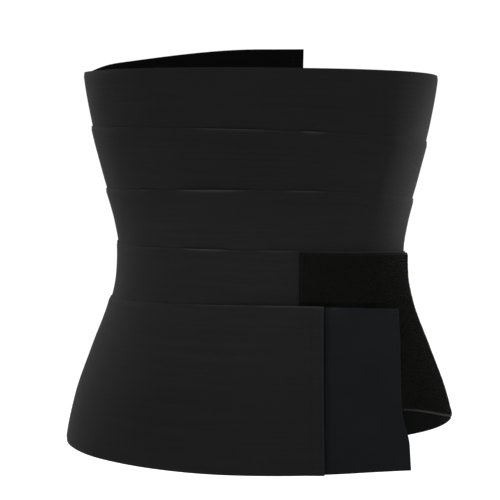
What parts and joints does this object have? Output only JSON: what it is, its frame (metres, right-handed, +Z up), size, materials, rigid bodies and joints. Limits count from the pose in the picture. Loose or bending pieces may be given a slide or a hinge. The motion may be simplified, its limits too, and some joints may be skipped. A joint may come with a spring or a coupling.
{
  "type": "postpartum belly wrap",
  "caption": "Bandage-style waist wrap: one long elastic band wound in overlapping turns to an hourglass, closed at the front by a hook tab on a plush loop patch.",
  "frame": {"origin": "in the middle of the waist opening, at its narrowest height", "axes": "+Z up along the wearer's body, -Y to the wearer's front, +X to the side with the loop patch and hook tab"},
  "size_m": [0.3278, 0.2366, 0.345],
  "materials": {
    "elastic_band": "matt black knitted elastic with smooth selvedges",
    "loop_fabric": "deep black brushed loop pile",
    "hook_tape": "blue-black woven hook tape, slightly smooth"
  },
  "bodies": {
    "root": {"wrap_band": "elastic_band", "loop_patch": "loop_fabric", "hook_tab": "hook_tape"}
  },
  "joints": []
}
